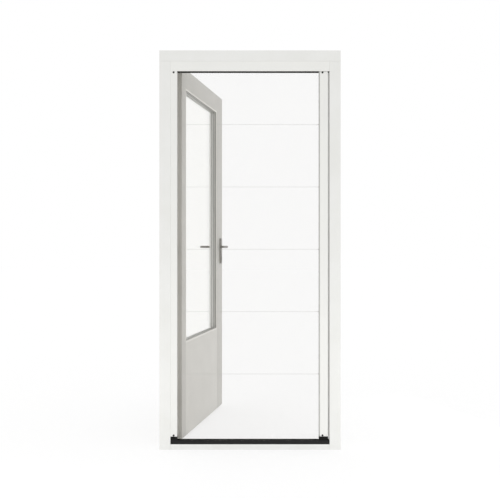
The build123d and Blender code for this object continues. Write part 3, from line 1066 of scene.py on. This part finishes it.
# The turning plug in each end of the lock cylinder, with its key slot
plug = {
    "radius": 6.6 * mm,
    "sides": 36,
    "proud": 0.5 * mm,
    "edge": 0.3 * mm,
    "slotWidth": 1.7 * mm,
    "slotHeight": 8.5 * mm,
    "slotDepth": 2.5 * mm,
    "base": 3 * mm,
}


def makePlugShape():
    clearSelection()
    bpy.ops.mesh.primitive_cylinder_add(
        vertices=plug["sides"], radius=plug["radius"], depth=plug["base"] + plug["proud"],
        location=(0, 0, (plug["proud"] - plug["base"]) / 2),
    )
    shape = newPiece("plugShape")
    settle(shape)
    roundEdges(shape, plug["edge"], angle=60)
    halfWidth, halfHeight = plug["slotWidth"] / 2, plug["slotHeight"] / 2

    def onTop(face):
        return face.normal.z > 0.999

    for x, y in ((1, 0), (-1, 0), (0, 1), (0, -1)):
        editPicked(shape, "FACE", onTop)
        bpy.ops.mesh.bisect(plane_co=(x * halfWidth, y * halfHeight, 0), plane_no=(x, y, 0))
        leaveEdit()
    editPicked(shape, "FACE", lambda f: onTop(f) and (
        abs(f.center.x) < halfWidth and abs(f.center.y) < halfHeight))
    bpy.ops.mesh.extrude_region_move(
        TRANSFORM_OT_translate={"value": (0, 0, -plug["slotDepth"])}
    )
    leaveEdit()
    return shape


print("key plugs")
cylinderLow, cylinderHigh = closedBox("lock_cylinder")
plugHeight = cylinderHigh.z - (cylinderHigh.x - cylinderLow.x) / 2
toOutside = Matrix.Rotation(math.pi / 2, 4, "X")  # turns +Z to -Y, with the slot upright
keyPlugs = copiesJoined(
    makePlugShape(),
    [
        openTurn @ Matrix.Translation((neckX, cylinderLow.y, plugHeight)) @ toOutside,
        openTurn @ Matrix.Translation((neckX, cylinderHigh.y, plugHeight)) @ toOutside.inverted(),
    ],
    "keyPlugs",
)
smoothByAngle(keyPlugs)
dressPiece(keyPlugs, gripSteel, "door_leaf")


# Latch and bolt of the lock, both drawn back into the faceplate
bolts = {
    "latch": (22 * mm, 11 * mm, 0.45 * mm),  # height, width, slope of its face
    "bolt": (34 * mm, 9 * mm, 0.0),
    "boltDrop": 72 * mm,
    "proud": 0.6 * mm,
    "sunk": 2 * mm,
    "edge": 0.4 * mm,
}


def makeBolt(name, facts, z):
    print(name)
    height, width, slope = facts
    clearSelection()
    bpy.ops.mesh.primitive_cube_add(size=1, location=(0, 0, (bolts["proud"] - bolts["sunk"]) / 2))
    block = newPiece(name)
    block.scale = (height, width, bolts["proud"] + bolts["sunk"])
    settle(block)
    editPicked(block, "VERT", lambda v: v.co.z > 0 and v.co.y < 0)
    bpy.ops.transform.translate(value=(0, 0, -slope))
    leaveEdit()
    roundEdges(block, bolts["edge"], angle=20)
    block.data.transform(Matrix.Rotation(math.pi / 2, 4, "Y"))  # faces +X, its height along Z
    block.data.transform(Matrix.Rotation(-lean, 4, "Z"))
    block.data.transform(Matrix.Translation((plateMiddleX, middle(plateLow.y, plateHigh.y), z)))
    block.data.transform(openTurn)
    smoothByAngle(block)
    dressPiece(block, uprightSteel, "door_leaf")


makeBolt("lockLatch", bolts["latch"], leverHeight)
makeBolt("lockBolt", bolts["bolt"], leverHeight - bolts["boltDrop"])


# Floor and light
stage = {
    "floorSize": 60.0,
    "floorColour": "#E6E6E4",
    "seenColour": "#8C8C8C",  # what the camera sees of it: darker matt ground under a glow,
    "floorGlow": 0.74,        # which together are white where the floor lies open
    "worldLight": 1.0,        # also the background, which is white at this
    "lampWidth": 1.2,
    "lampHeight": 0.3,
    "lampDistance": 1.6,
    "lampAim": 0.3,
}
lamps = {
    # turn from the front towards the right in degrees, height, watts
    "keyLamp": (45, 0.15, 2.5),
    "fillLamp": (-45, 0.15, 2.3),
    "sideLamp": (110, 0.2, 1.6),
}


# 1 for rays from the camera and for those that reach it by gloss or through glass
def seenByCamera(tree):
    rays = addNode(tree, "ShaderNodeLightPath")
    seen = rays.outputs["Is Camera Ray"]
    for name in ("Is Glossy Ray", "Is Transmission Ray"):
        either = addNode(tree, "ShaderNodeMath", {"operation": "MAXIMUM"})
        tree.links.new(seen, either.inputs[0])
        tree.links.new(rays.outputs[name], either.inputs[1])
        seen = either.outputs[0]
    return seen


# Matt pale floor; it keeps the soft shadow at the foot of the frame
def makeFloor():
    clearSelection()
    bpy.ops.mesh.primitive_plane_add(size=stage["floorSize"], location=(0, 0, 0))
    floor = newPiece("floor")
    material = bpy.data.materials.new("paleFloor")
    material.use_nodes = True
    tree = material.node_tree
    tree.nodes.clear()
    lit = addNode(tree, "ShaderNodeBsdfDiffuse", {"Color": colour(stage["floorColour"])})
    matt = addNode(tree, "ShaderNodeBsdfDiffuse", {"Color": colour(stage["seenColour"])})
    glow = addNode(
        tree, "ShaderNodeEmission", {"Color": (1, 1, 1, 1), "Strength": stage["floorGlow"]}
    )
    shown = addNode(tree, "ShaderNodeAddShader")
    tree.links.new(matt.outputs[0], shown.inputs[0])
    tree.links.new(glow.outputs[0], shown.inputs[1])
    either = addNode(tree, "ShaderNodeMixShader", {}, [("Fac", seenByCamera(tree))])
    tree.links.new(lit.outputs[0], either.inputs[1])
    tree.links.new(shown.outputs[0], either.inputs[2])
    addNode(tree, "ShaderNodeOutputMaterial", {}, [("Surface", either.outputs[0])])
    floor.data.materials.append(material)


def makeWorld():
    world = bpy.data.worlds.new("studio")
    bpy.context.scene.world = world
    world.use_nodes = True
    tree = world.node_tree
    tree.nodes.clear()
    sky = addNode(
        tree, "ShaderNodeBackground", {"Color": (1, 1, 1, 1), "Strength": stage["worldLight"]}
    )
    addNode(tree, "ShaderNodeOutputWorld", {}, [("Surface", sky.outputs[0])])


def addLamp(name, turn, height, watts):
    data = bpy.data.lights.new(name, "AREA")
    data.shape = "RECTANGLE"
    data.size = stage["lampWidth"]
    data.size_y = stage["lampHeight"]
    data.energy = watts
    lamp = bpy.data.objects.new(name, data)
    side = math.radians(turn)
    lamp.location = (
        stage["lampDistance"] * math.sin(side), -stage["lampDistance"] * math.cos(side), height
    )
    aim = Vector((0, 0, stage["lampAim"])) - lamp.location
    lamp.rotation_euler = aim.to_track_quat("-Z", "Y").to_euler()
    lamp.visible_camera = False        # its own shape stays out of sight, through the glass too
    lamp.visible_transmission = False
    bpy.context.scene.collection.objects.link(lamp)


print("floor and light")
makeFloor()
makeWorld()
for lampName, facts in lamps.items():
    addLamp(lampName, *facts)
bpy.context.scene.view_settings.view_transform = "Standard"
